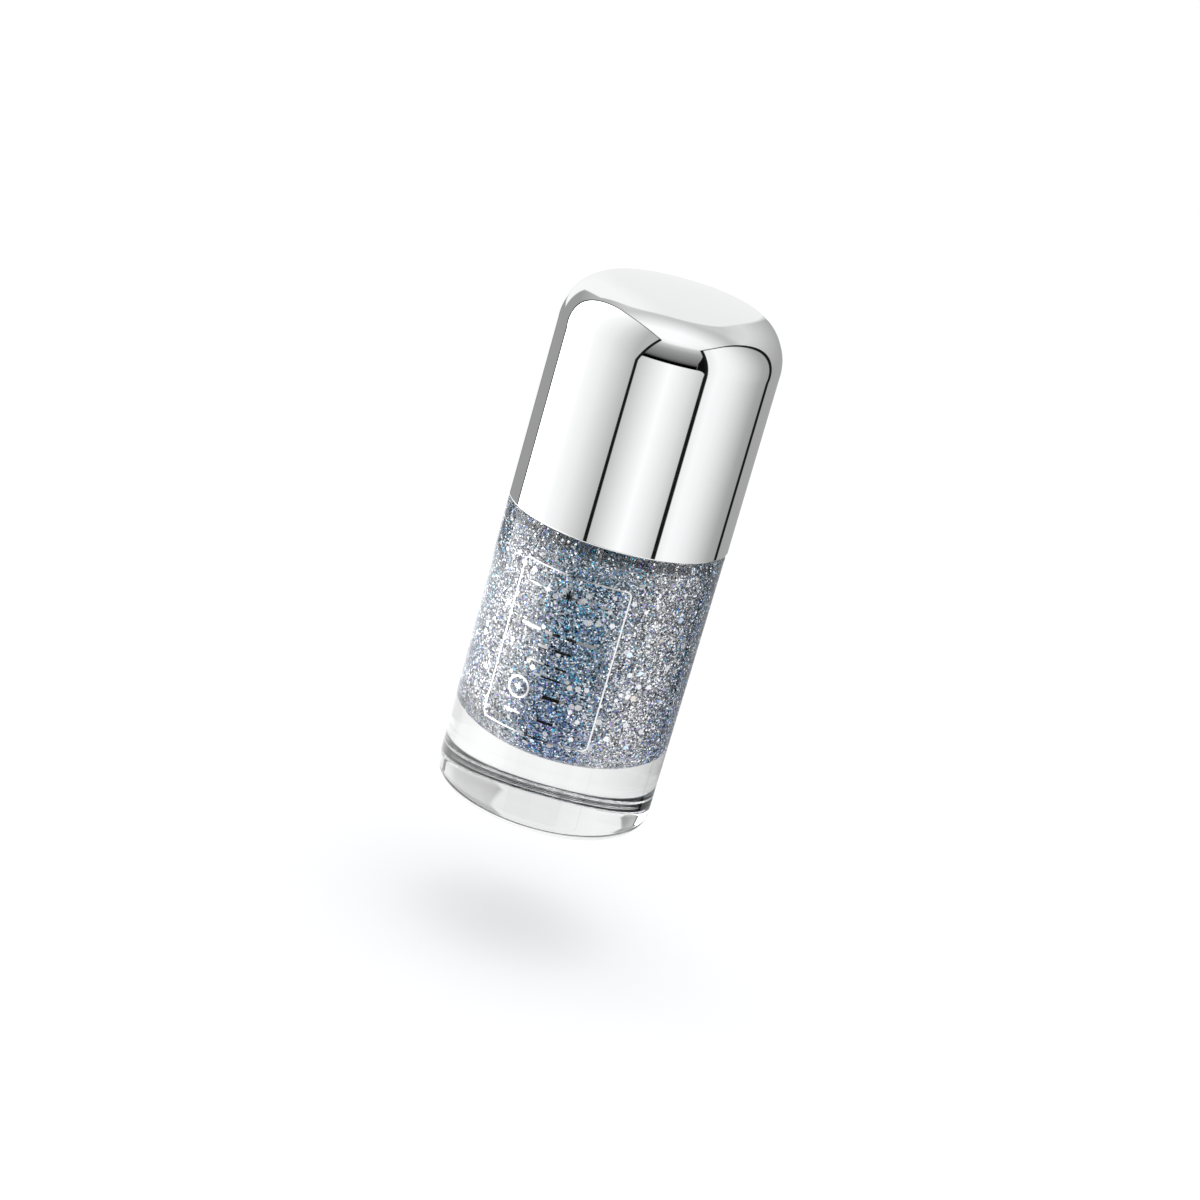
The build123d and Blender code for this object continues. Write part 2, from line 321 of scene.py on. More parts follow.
def edge_plane(s, a, u):
    """Depth behind a straight edge seen from the object: the great circle s side + a ahead + u up = 0."""
    size = math.sqrt(s * s + a * a + u * u)
    return side * (s / size) + ahead * (a / size) + dz * (u / size)


def corner_depth(first, second, radius):
    """Depth inside two edges that meet in a rounded corner."""
    one, other = (radius - first).high(0.0), (radius - second).high(0.0)
    return radius - (one * one + other * other).math("SQRT")


# behind the object: grey skirts that lighten upwards, white in the middle
low_left = height.steps((15, 0.35), (30, 0.47), (46, 0.52), (60, 0.7))
low_right = height.steps((0, 0.40), (10, 0.46), (20, 0.54), (42, 0.76), (52, 0.72), (60, 0.64))
studio = blend(low_left, low_right, side.over(0.0, 0.3))
# the ceiling
overhead = (ahead * 1.05 + 0.66).low(1.1).high(0.6) - (side - 0.1).high(0.0) * 0.22
studio = blend(studio, overhead, ahead.over(-0.08, 0.24) * dz.over(0.62, 0.2))
# white ceiling card that leans over the object from behind
card_left = side * 0.804 - ahead * 0.595 + dz.ramp(0.3, 0.0, 0.6, 0.26)
card = corner_depth(edge_plane(0, -1, -0.145), edge_plane(-1, -0.13, 0.34), 0.35)
card = corner_depth(card, card_left, 0.12)
card_light = side.ramp(-0.4, 1.02, -0.1, 0.93)
studio = blend(studio, card_light, card.over(0.0, 0.035) * height.over(-3.0, 1.0))
# its lower part, and the dark line at its left edge
LOW_CARD_EDGE = -157.2
low_card = around.math("ABSOLUTE").over(165.0, 1.0).high(around.under(LOW_CARD_EDGE, 0.5))
studio = blend(studio, 1.0, low_card * height.under(-3.0, 1.0))
card_line = around.over(LOW_CARD_EDGE, 0.6) * around.under(-155.0, 0.6)
studio = blend(studio, 0.12, card_line * height.under(-3.0, 4.0))

# centre: a bright strip low down, a dark line, then a slow rise
rise_light = height.steps((5, 0.0), (8, 0.12), (12, 0.2), (20, 0.28), (28, 0.38), (36, 0.62), (42, 1.1))
rise_right = height.steps((12, 32.5), (32, 39.5))
between = around.over(-32.0, 0.5) * around.under(47.0, 0.5)
studio = blend(studio, 0.005, between * height.under(38.0, 1.0) * around.over(rise_right, 1.0))
rising = around.over(-32.0, 0.5) * around.under(rise_right, 1.0) * height.under(42.0, 1.0)
studio = blend(studio, rise_light, rising)
strip = around.steps((-25, 0.6), (-8, 0.88), (7, 1.1), (20, 0.95), (30, 0.82), (42, 0.6))
strip_depth = corner_depth(-0.01 - dz, (around + 25.3) * (1 / DEG), 0.09)
strip_depth = corner_depth(strip_depth, (41.6 - around) * (1 / DEG), 0.13)
studio = blend(studio, strip, strip_depth.over(0.0, 0.012))

# left soft box
left_top, left_back = edge_plane(-1.337, 0.6125, -1), edge_plane(-0.65, 1, 0)
left_front = edge_plane(-1, -0.471, 0.262)
left_in = corner_depth(left_top, left_back, 0.33).low(left_front)
left_out = corner_depth(left_top + 0.018, left_back + 0.035, 0.33).low(left_front + 0.05)
left_light = around.steps((-130, 3.2), (-105, 2.4), (-88, 1.3), (-78, 1.08), (-59, 0.93), (-41, 0.69),
                          (-28, 0.5))
studio = blend(studio, 0.01, left_out.over(0.0, 0.008))
studio = blend(studio, left_light, left_in.over(0.0, 0.008))

# right soft box
right_top, right_back = edge_plane(1.019, 0.17, -1), edge_plane(0.69, 1, 0)
right_front = edge_plane(1, -0.98, 0.12)
right_in = corner_depth(right_top, right_back, 0.62).low(right_front)
right_out = corner_depth(right_top + 0.022, right_back + 0.095, 0.62).low(right_front + 0.062)
right_light = around.steps((46, 0.95), (55, 1.06), (67, 1.0), (77, 0.9), (87, 0.77), (99, 0.6),
                           (112, 0.42), (124, 0.36))
studio = blend(studio, 0.01, right_out.over(0.0, 0.008))
studio = blend(studio, right_light, right_in.over(0.0, 0.014))

# low in front: a wider dark seam, then the grey edge of the table
LOW = -17.6             # only the glass and the foil look this far down
low_front = around.steps((-33.4, 0.0), (-33.0, 0.01), (-7.6, 0.01), (-7.0, 0.24), (16, 0.30), (23, 0.34),
                         (26, 1.0))
in_front = around.over(-33.4, 0.6) * around.under(45.0, 0.6)
studio = blend(studio, low_front, height.under(LOW, 0.3) * in_front)

# bright paper low at the left, and a white table far below
paper = around.steps((-126, 1.7), (-116, 2.4), (-64, 2.4), (-48, 1.6))
studio = blend(studio, paper, height.under(LOW, 0.5) * around.under(-46.0, 8.0))
studio = blend(studio, 1.0, height.under(-34.0, 6.0))

path = node(wt, "ShaderNodeLightPath")
is_camera = Wire(wt, path.outputs["Is Camera Ray"])
is_diffuse = Wire(wt, path.outputs["Is Diffuse Ray"])
no_mirror = 1.0 - Wire(wt, path.outputs["Glossy Depth"]).low(1.0)
passed = Wire(wt, path.outputs["Transmission Depth"]).low(1.0)
through = around.steps((-180, 0.97), (-120, 0.72), (-60, 0.80), (0, 0.95), (60, 0.9), (110, 0.66),
                       (150, 0.95), (180, 0.97))
# what is inside the glass is lit by brighter lamps than the chrome shows
gain = around.math("ABSOLUTE").steps((112, INSIDE_GAIN - 1.0), (138, -0.1))
studio = studio * (passed * gain + 1.0)
studio = blend(studio, through, no_mirror * passed)
soft_light = height.steps((-90, 0.6), (0, 0.75), (90, 1.6))
studio = blend(studio, soft_light, is_diffuse)
studio = blend(studio, 1.0, is_camera)
background = node(wt, "ShaderNodeBackground")
wt.links.new(studio.socket, background.inputs["Color"])
output = node(wt, "ShaderNodeOutputWorld")
wt.links.new(background.outputs[0], output.inputs["Surface"])

# ---- Floor ---------------------------------------------------------------------

FLOOR_PLANE_Z, HALF = -17.0, 900.0
floor = new_object("floor", [(x * HALF, y * HALF, FLOOR_PLANE_Z)
                             for x, y in ((-1, -1), (1, -1), (1, 1), (-1, 1))], [(0, 1, 2, 3)])
floor_mat, ft, fb = material("floor_paper")
fb.inputs["Base Color"].default_value = (0.93, 0.935, 0.945, 1)
fb.inputs["Roughness"].default_value = 1.0
fb.inputs["Specular IOR Level"].default_value = 0.0
floor.data.materials.append(floor_mat)
floor.visible_glossy = False
floor.visible_transmission = False

# ---- Materials -----------------------------------------------------------------


def noise(tree, scale, detail):
    """Noise in object space; scale is in features per metre."""
    coord = node(tree, "ShaderNodeTexCoord")
    made = node(tree, "ShaderNodeTexNoise")
    made.inputs["Scale"].default_value = scale
    made.inputs["Detail"].default_value = detail
    tree.links.new(coord.outputs["Object"], made.inputs["Vector"])
    return Wire(tree, made.outputs[0])


def bump(tree, shader, height_wire, strength, distance):
    made = node(tree, "ShaderNodeBump")
    made.inputs["Strength"].default_value = strength
    made.inputs["Distance"].default_value = distance
    tree.links.new(height_wire.socket, made.inputs["Height"])
    tree.links.new(made.outputs[0], shader.inputs["Normal"])


def into(tree, wire, shader, name):
    tree.links.new(wire.socket, shader.inputs[name])


def mix_colour(tree, factor, a, b):
    made = node(tree, "ShaderNodeMix", data_type="RGBA")
    for place, value in ((0, factor), (6, a), (7, b)):
        if isinstance(value, Wire):
            tree.links.new(value.socket, made.inputs[place])
        else:
            made.inputs[place].default_value = value
    return Wire(tree, made.outputs[2])


chrome, t, s = material("cap_chrome")
s.inputs["Metallic"].default_value = 1.0
s.inputs["Base Color"].default_value = (0.90, 0.905, 0.91, 1)
into(t, noise(t, 900, 4).ramp(0.3, 0.012, 0.7, 0.045), s, "Roughness")

raw_plastic, t, s = material("cap_inside_plastic")
into(t, mix_colour(t, noise(t, 400, 4), (0.60, 0.61, 0.62, 1), (0.68, 0.69, 0.70, 1)), s, "Base Color")
into(t, noise(t, 1500, 3).ramp(0.3, 0.38, 0.7, 0.52), s, "Roughness")

glass, t, s = material("clear_glass")
s.inputs["Base Color"].default_value = (0.985, 0.992, 0.99, 1)
s.inputs["Transmission Weight"].default_value = 1.0
s.inputs["IOR"].default_value = 1.52
s.inputs["Roughness"].default_value = 0.0
bump(t, s, noise(t, 160, 2), 0.06, 0.0002)

foil_mat, t, s = material("hot_foil")
s.inputs["Metallic"].default_value = 1.0
s.inputs["Base Color"].default_value = (0.93, 0.93, 0.93, 1)
into(t, noise(t, 2500, 3).ramp(0.3, 0.02, 0.7, 0.09), s, "Roughness")

steel, t, s = material("bright_steel")
s.inputs["Metallic"].default_value = 1.0
into(t, mix_colour(t, noise(t, 1500, 3), (0.50, 0.49, 0.47, 1), (0.62, 0.61, 0.60, 1)), s, "Base Color")
into(t, noise(t, 3000, 4).ramp(0.3, 0.15, 0.7, 0.28), s, "Roughness")

closure_mat, t, s = material("closure_polypropylene")
into(t, mix_colour(t, noise(t, 350, 4), (0.80, 0.80, 0.79, 1), (0.88, 0.88, 0.87, 1)), s, "Base Color")
into(t, noise(t, 1800, 3).ramp(0.3, 0.33, 0.7, 0.48), s, "Roughness")
s.inputs["Subsurface Weight"].default_value = 0.08
s.inputs["Subsurface Radius"].default_value = (0.001, 0.001, 0.001)
bump(t, s, noise(t, 6000, 2), 0.15, 0.00002)

liner_mat, t, s = material("foamed_liner")
into(t, mix_colour(t, noise(t, 2500, 4), (0.84, 0.84, 0.82, 1), (0.92, 0.92, 0.90, 1)), s, "Base Color")
s.inputs["Roughness"].default_value = 0.65
bump(t, s, noise(t, 4500, 3), 0.4, 0.00004)

stem_mat, t, s = material("brush_rod_plastic")
into(t, mix_colour(t, noise(t, 500, 4), (0.86, 0.86, 0.85, 1), (0.92, 0.92, 0.91, 1)), s, "Base Color")
into(t, noise(t, 2200, 3).ramp(0.3, 0.22, 0.7, 0.36), s, "Roughness")
bump(t, s, noise(t, 5000, 2), 0.12, 0.00002)

bristle_mat, t, s = material("bristle_nylon")
nylon = mix_colour(t, noise(t, 2600, 3), (0.012, 0.012, 0.016, 1), (0.05, 0.055, 0.07, 1))
into(t, nylon, s, "Base Color")
into(t, noise(t, 5000, 2).ramp(0.3, 0.18, 0.7, 0.35), s, "Roughness")

# ---- Cap -----------------------------------------------------------------------


def cap_outline(edge_r, top_r, foot, top, corner):
    """Draft line, corner arc and dome of the cap as runs from the foot to the axis."""
    dome_r = (top_r**2 + DOME_RISE**2) / (2 * DOME_RISE)
    dome_z = top - dome_r
    slope = (edge_r - top_r) / (top - DOME_RISE - foot)
    z = top - corner
    for _ in range(20):
        r = edge_r - slope * (z - foot) - corner * math.hypot(1, slope)
        z = dome_z + math.sqrt((dome_r - corner) ** 2 - r**2)
    centre = Vector((r, z))
    out = Vector((1, slope)).normalized()
    low = centre + out * corner
    start = math.atan2(out.y, out.x)
    lean = math.atan2(z - dome_z, r)
    return [
        line((edge_r, foot), low, 0.7),
        arc(centre, corner, start, lean, 72),
        arc((0, dome_z), dome_r, lean, math.pi / 2, 30),
    ]


inner_r = CAP_EDGE_R - CAP_WALL
socket_out = SOCKET_R + SOCKET_WALL
outer = cap_outline(CAP_EDGE_R, CAP_TOP_R, CAP_EDGE_Z, TOP_Z, CAP_CORNER)
roof = cap_outline(inner_r, CAP_TOP_R - CAP_WALL, CAP_EDGE_Z, TOP_Z - CAP_ROOF, CAP_CORNER - CAP_WALL)


def roof_height(radius):
    """Height of the pocket's roof at a radius, and the roof's normal there."""
    points = [p for run in roof for p in run if p[1] > WEB_Z]
    for a, b in zip(points, points[1:]):
        if (a[0] - radius) * (b[0] - radius) <= 0 and a[0] != b[0]:
            f = (radius - a[0]) / (b[0] - a[0])
            return a[1] + f * (b[1] - a[1]), a[2] + f * (b[2] - a[2]), a[3] + f * (b[3] - a[3])
    raise ValueError(radius)


def backwards(points):
    return list(reversed(points))


z_out, nr_out, nz_out = roof_height(socket_out)
z_in, nr_in, nz_in = roof_height(SOCKET_R)
LIP_STUB = 2.0
lip_run = rounded([(inner_r, CAP_EDGE_Z + LIP_STUB, 0), (inner_r, CAP_EDGE_Z, CAP_LIP),
                   (CAP_EDGE_R, CAP_EDGE_Z, CAP_LIP), (CAP_EDGE_R, CAP_EDGE_Z + LIP_STUB, 0)], 0.4, 8)[1:-1]
lip_top = CAP_EDGE_Z + CAP_LIP + 0.05
outer_wall = [lip_run[-1][-1]] + [p for p in outer[0] if p[1] > lip_top]
outer_wall[0] = (*outer_wall[0][:2], *outer_wall[1][2:])
inner_points = [(a, b, -c, -d) for run in roof for a, b, c, d in run]
wall_points = [p for p in inner_points if p[1] > lip_top and p[0] > socket_out + 0.02]
centre_points = [p for p in inner_points if p[0] < SOCKET_R - 0.02 and p[1] > WEB_Z]
rim, rim_z = SOCKET_RIM, SOCKET_Z + SOCKET_RIM
inside = [
    backwards([(SOCKET_R, z_in, -nr_in, -nz_in)] + centre_points),
    line((SOCKET_R, z_in), (SOCKET_R, rim_z), 1.0),
    arc((SOCKET_R + rim, rim_z), rim, -math.pi, -math.pi / 2, 6),
    line((SOCKET_R + rim, SOCKET_Z), (socket_out - rim, SOCKET_Z), 0.5),
    arc((socket_out - rim, rim_z), rim, -math.pi / 2, 0, 6),
    line((socket_out, rim_z), (socket_out, z_out), 1.0),
    backwards([(*lip_run[0][0][:2], -1.0, 0.0)] + wall_points + [(socket_out, z_out, -nr_out, -nz_out)]),
]
cap_shell, cap_face_runs = lathe("cap_shell", inside + lip_run + [outer_wall] + outer[1:])
cap_shell.data.materials.append(chrome)
cap_shell.data.materials.append(raw_plastic)
for face, run in zip(cap_shell.data.polygons, cap_face_runs):
    face.material_index = 0 if run >= len(inside) else 1
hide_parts("overcap")
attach(cap_shell, "cap")


def block(lows, highs, turn):
    """Eight corners of a block between two corners, turned about Z."""
    cosine, sine = math.cos(turn), math.sin(turn)
    verts = [(x * cosine - y * sine, x * sine + y * cosine, z)
             for z in (lows[2], highs[2]) for y in (lows[1], highs[1]) for x in (lows[0], highs[0])]
    quads = [(0, 2, 3, 1), (4, 5, 7, 6), (0, 1, 5, 4), (2, 6, 7, 3), (0, 4, 6, 2), (1, 3, 7, 5)]
    return verts, quads


verts, faces = [], []
web_top = roof_height(inner_r - 0.6)[0] - 0.5
for number in range(WEBS):
    more, quads = block((socket_out - WEB_BURY, -WEB_W / 2, WEB_Z), (inner_r + WEB_BURY, WEB_W / 2, web_top),
                        2 * math.pi * number / WEBS)
    faces += [tuple(i + len(verts) for i in q) for q in quads]
    verts += more
webs = new_object("cap_webs", verts, faces)
webs.data.materials.append(raw_plastic)
webs_bevel = webs.modifiers.new("soft_edges", "BEVEL")
webs_bevel.width, webs_bevel.segments = WEB_BEVEL * MM, 3
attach(webs, "cap")

# ---- Glass bottle ----------------------------------------------------------------

push_r = (RING_R**2 + PUSH_UP**2) / (2 * PUSH_UP)
push_centre = (0, PUSH_UP - push_r)
push_angle = math.atan2(-push_centre[1], RING_R)
outside = rounded([
    (RING_R, 0, 0), (BOTTLE_R, 0, BASE_CORNER), (BOTTLE_R, SHOULDER_Z, SHOULDER_CORNER),
    (NECK_R, SHOULDER_Z, NECK_FILLET), (NECK_R, RIM_Z, RIM_CORNER), (BORE_R, RIM_Z, BORE_RIM),
    (BORE_R, CEILING_Z, BORE_CORNER), (CAVITY_R, CEILING_Z, CEILING_CORNER),
    (CAVITY_R, FLOOR_Z, FLOOR_CORNER), (0, FLOOR_Z, 0)], 2.0, 28)
glass_runs = [arc(push_centre, push_r, math.pi / 2, push_angle, 16)] + outside
neck_run = [i for i, run in enumerate(glass_runs)
            if abs(run[0][0] - NECK_R) < TINY and abs(run[-1][0] - NECK_R) < TINY][0]
glass_runs[neck_run] = line(glass_runs[neck_run][0][:2], glass_runs[neck_run][-1][:2], NECK_PITCH)


def thread(angle, z):
    """How far the screw thread stands out from the neck: a tapered start, two turns, a tapered end."""
    best = 0.0
    for lap in range(-1, 4):
        along = angle / (2 * math.pi) + lap
        if not 0 <= along <= TURNS:
            continue
        fade = min(1.0, along / THREAD_FADE, (TURNS - along) / THREAD_FADE)
        off = abs(z - (THREAD_Z + PITCH * along))
        flank = min(1.0, max(0.0, (THREAD_HALF - off) / THREAD_FLANK))
        best = max(best, fade * (3 * flank**2 - 2 * flank**3))
    return best * (THREAD_R - NECK_R)


bottle, _ = lathe("bottle_glass", glass_runs, push=thread, pushed_run=neck_run)
bottle.data.materials.append(glass)
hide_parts("glass_bottle")
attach(bottle, "bottle")

# ---- Lacquer ---------------------------------------------------------------------

FILM = 0.03             # the lacquer bites this far into the glass, so that no air shows between them
lac_r = CAVITY_R + FILM
lacquer_runs = rounded([
    (0, FLOOR_Z - FILM, 0), (lac_r, FLOOR_Z - FILM, FLOOR_CORNER + FILM),
    (lac_r, CEILING_Z + FILM, CEILING_CORNER + FILM),
    (BORE_R + FILM, CEILING_Z + FILM, BORE_CORNER - FILM),
    (BORE_R + FILM, FILL_Z + 0.35, 0), (BORE_R - 0.25, FILL_Z + 0.05, 0.3), (BORE_R - 0.9, FILL_Z, 0.8),
    (0, FILL_Z, 0)], 0.5, 18)
lacquer, _ = lathe("lacquer_body", lacquer_runs)
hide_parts("polish")
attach(lacquer, "bottle")

lac_mat, t, s = material("glitter_lacquer")
coord = node(t, "ShaderNodeTexCoord")
# each cell is one flake, with three random numbers of its own
fine = node(t, "ShaderNodeTexVoronoi")
fine.inputs["Scale"].default_value = 6200
t.links.new(coord.outputs["Object"], fine.inputs["Vector"])
picks = node(t, "ShaderNodeSeparateColor")
t.links.new(fine.outputs["Color"], picks.inputs[0])
pick_a, pick_b, pick_c = (Wire(t, picks.outputs[i]) for i in range(3))
where = node(t, "ShaderNodeSeparateXYZ")
t.links.new(coord.outputs["Object"], where.inputs[0])
px, py, pz = (Wire(t, where.outputs[i]) * (1 / MM) for i in range(3))
about = px.math("ARCTAN2", py * -1.0) * DEG
blueness = ((about - BLUE_CENTRE) * (BLUE_PATCHES / DEG)).math("COSINE") * BLUE_SWING + BLUE_MEAN
blueness = blueness * noise(t, 130, 2).ramp(0.35, 0.6, 0.6, 1.0)
low_violet = pz.ramp(VIOLET_TOP, 0.0, VIOLET_FULL, 1.0) * blueness
deep_blue = mix_colour(t, pick_b, (0.012, 0.035, 0.06, 1), (0.15, 0.30, 0.44, 1))
deep_violet = mix_colour(t, pick_b, (0.02, 0.03, 0.10, 1), (0.20, 0.22, 0.46, 1))
deep_grey = mix_colour(t, pick_b, (0.12, 0.12, 0.125, 1), (0.50, 0.50, 0.51, 1))
deep = mix_colour(t, low_violet * 0.7, mix_colour(t, blueness, deep_grey, deep_blue), deep_violet)
shine_blue = mix_colour(t, pick_c, (0.36, 0.52, 0.64, 1), (0.84, 0.90, 0.95, 1))
shine_grey = mix_colour(t, pick_c, (0.66, 0.66, 0.68, 1), (0.94, 0.94, 0.95, 1))
shine = mix_colour(t, blueness, shine_grey, shine_blue)
grain = mix_colour(t, pick_a.over(blueness * 0.3 + 0.42, 0.2), deep, shine)
# paler glitter over the flat of the underside, and painted light low down at the back: pale grains that
# stand in for light coming in through the heel
reach = (px * px + py * py).math("SQRT")
underside = pz.under(FLOOR_Z + 1.6, 0.02) * reach.under(7.6, 0.3)
pale_silver = mix_colour(t, pick_c, (0.74, 0.74, 0.75, 1), (0.94, 0.94, 0.94, 1))
pale = underside.high(pz.under(PAINTED_LIGHT_Z, 0.8) * py.over(3.5, 2.5))
grain = mix_colour(t, pale, grain, pale_silver)
# painted light under the ceiling of the bottle, where the cap shades the lacquer: paler grains
crown = pz.over(33.3, 0.5)
grain = mix_colour(t, crown * pick_b.ramp(0.2, 0.0, 0.7, 0.8), grain, shine)
into(t, grain, s, "Base Color")
# less metallic in the pale parts and the painted light under the ceiling
into(t, 0.93 - pale.high(crown * 0.6) * 0.75, s, "Metallic")
s.inputs["Roughness"].default_value = 0.3
# each flake is tilted its own way
tilt = node(t, "ShaderNodeVectorMath", operation="MULTIPLY_ADD")
t.links.new(fine.outputs["Color"], tilt.inputs[0])
tilt.inputs[1].default_value = (1.0, 1.0, 1.0)
tilt.inputs[2].default_value = (-0.5, -0.5, -0.5)
geometry = node(t, "ShaderNodeNewGeometry")
added = node(t, "ShaderNodeVectorMath", operation="ADD")
t.links.new(tilt.outputs[0], added.inputs[0])
t.links.new(geometry.outputs["Normal"], added.inputs[1])
unit = node(t, "ShaderNodeVectorMath", operation="NORMALIZE")
t.links.new(added.outputs[0], unit.inputs[0])
t.links.new(unit.outputs[0], s.inputs["Normal"])
lacquer.data.materials.append(lac_mat)

# ---- Glitter ---------------------------------------------------------------------

TINTS = {
    "bright": ((0.97, 0.98, 1.0), 0.14), "silver": ((0.70, 0.71, 0.74), 0.26),
    "ice": ((0.56, 0.70, 0.88), 0.18), "teal": ((0.08, 0.40, 0.58), 0.2),
    "cobalt": ((0.05, 0.15, 0.50), 0.22), "violet": ((0.36, 0.26, 0.62), 0.22),
    "warm": ((0.62, 0.58, 0.53), 0.26), "dark": ((0.015, 0.02, 0.03), 0.3),
}
tint_mats = {}
for name, (colour, rough) in TINTS.items():
    made, t, s = material("glitter_" + name)
    s.inputs["Base Color"].default_value = (*colour, 1)
    s.inputs["Metallic"].default_value = 1.0
    s.inputs["Roughness"].default_value = rough
    tint_mats[name] = made


def choose(weights):
    total = sum(weights.values())
    pick = random.random() * total
    for name, weight in weights.items():
        pick -= weight
        if pick <= 0:
            return name
    return name


def mood(angle, z):
    """How often each tint turns up: angle in degrees round from the print, z up the glass."""
    # painted light: low down at the back only bright and silver flakes, standing in for light through the
    # heel
    if abs(angle) > PAINTED_LIGHT_FROM and z < PAINTED_LIGHT_Z:
        return {"bright": 2.0, "silver": 1.0}
    blue = BLUE_MEAN + BLUE_SWING * math.cos(BLUE_PATCHES * math.radians(angle - BLUE_CENTRE))
    low = min(1.0, max(0.0, (VIOLET_TOP - z) / (VIOLET_TOP - VIOLET_FULL))) * blue
    # painted light: brighter and paler tints near the top, where the cap shades the glitter
    high = min(1.0, max(0.0, (z - 31.0) / 2.5))
    return {
        "bright": 3.0 - 1.7 * blue + 2.0 * high,
        "silver": 4.6 - 3.2 * blue,
        "ice": 0.7 + 0.9 * blue + 1.5 * high,
        "teal": 0.1 + 2.4 * blue,
        "cobalt": 0.15 + 1.6 * blue + 1.3 * low,
        "violet": 0.9 - 0.3 * blue + 1.2 * low,
        "warm": 0.3 - 0.25 * blue,
        "dark": 1.0 + 2.6 * blue,
    }


def flake_mesh(name, count, radius_range, thickness, place, tilt_limit, weigh, flat=False):
    """Many small hexagonal flakes in one mesh: flat prisms, or double pyramids where flat is false.

    place() draws an angle round from the print, a height, a radius and how far the flake looks down;
    weigh(degrees, height) says how often each tint turns up.
    """
    verts, faces, indices = [], [], []
    names = list(TINTS)
    sides = 6
    for _ in range(count):
        angle, z, r, dip = place()
        size = random.uniform(*radius_range)
        tint_name = choose(weigh(math.degrees(angle), z))
        level = Vector((math.sin(angle), -math.cos(angle), 0))
        across = Vector((math.cos(angle), math.sin(angle), 0))
        out = level * math.cos(dip) - Vector((0, 0, math.sin(dip)))
        upward = level * math.sin(dip) + Vector((0, 0, math.cos(dip)))
        spin = random.uniform(0, math.pi)
        lean = tilt_limit * math.sqrt(random.random())
        lean_way = random.uniform(0, 2 * math.pi)
        aside = across * math.cos(lean_way) + upward * math.sin(lean_way)
        normal = (out + aside * math.tan(lean)).normalized()
        first = normal.orthogonal().normalized()
        second = normal.cross(first)
        centre = level * r + Vector((0, 0, z))
        base = len(verts)
        turns = [spin + 2 * math.pi * k / sides for k in range(sides)]
        ring = [centre + (first * math.cos(a) + second * math.sin(a)) * size for a in turns]
        thick = normal * thickness / 2
        if flat:
            verts += [p + thick for p in ring] + [p - thick for p in ring]
            faces.append(tuple(base + k for k in range(sides)))
            faces.append(tuple(base + sides + k for k in reversed(range(sides))))
            for k in range(sides):
                nxt = (k + 1) % sides
                faces.append((base + k, base + sides + k, base + sides + nxt, base + nxt))
            made = sides + 2
        else:
            verts += ring + [centre + thick, centre - thick]
            for k in range(sides):
                nxt = (k + 1) % sides
                faces.append((base + k, base + nxt, base + sides))
                faces.append((base + nxt, base + k, base + sides + 1))
            made = 2 * sides
        indices += [names.index(tint_name)] * made
    obj = new_object(name, verts, faces)
    for tint_name in names:
        obj.data.materials.append(tint_mats[tint_name])
    obj.data.polygons.foreach_set("material_index", indices)
    return obj


def on_wall(top, radius, deepest):
    """Random places on the lacquer: up the wall, and round the corner of the floor to a dip in degrees."""
    bend = FLOOR_CORNER * math.radians(deepest)

    def place():
        angle = random.uniform(-math.pi, math.pi)
        along = random.uniform(-bend, top - FLOOR_Z - FLOOR_CORNER)
        dip = max(0.0, -along) / FLOOR_CORNER
        z = FLOOR_Z + FLOOR_CORNER + (along if along > 0 else -FLOOR_CORNER * math.sin(dip))
        r = radius - FLOOR_CORNER * (1 - math.cos(dip))
        # near the top the flakes lean over, to face down
        dip += 0.34 * min(1.0, max(0.0, (z - 31.2) / 1.6))
        return angle, z, r, dip
    return place


def on_crown(radius, flat):
    """Random places round the lacquer's top corner and a little way in over its top."""
    bend = CEILING_CORNER * math.pi / 2

    def place():
        angle = random.uniform(-math.pi, math.pi)
        along = random.uniform(0.0, bend + flat)
        rise = min(along, bend) / CEILING_CORNER
        r = radius - CEILING_CORNER * (1 - math.cos(rise)) - max(0.0, along - bend)
        z = CEILING_Z - CEILING_CORNER * (1 - math.sin(rise)) + 0.05
        return angle, z, r, 0.3
    return place


def pale_mood(angle, z):
    """Tints of the large flakes, all close to silver."""
    return {"silver": 6.0, "ice": 1.0, "warm": 0.5}


for batch in (1, 2):
    glitter = flake_mesh(f"glitter_fine_{batch}", 14500, (0.08, 0.165), 0.02,
                         on_wall(CEILING_Z - CEILING_CORNER + 0.6, lac_r + 0.02, 62), math.radians(30), mood)
    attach(glitter, "bottle")
glitter_crown = flake_mesh("glitter_crown", 6000, (0.08, 0.16), 0.02, on_crown(lac_r + 0.03, 2.5),
                           math.radians(42), mood)
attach(glitter_crown, "bottle")
glitter_coarse = flake_mesh("glitter_coarse", 300, (0.26, 0.42), 0.03,
                            on_wall(CEILING_Z - CEILING_CORNER - 0.4, lac_r + 0.05, 40),
                            math.radians(9), pale_mood, flat=True)
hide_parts("glitter_flakes")
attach(glitter_coarse, "bottle")

# ---- Foil print ------------------------------------------------------------------


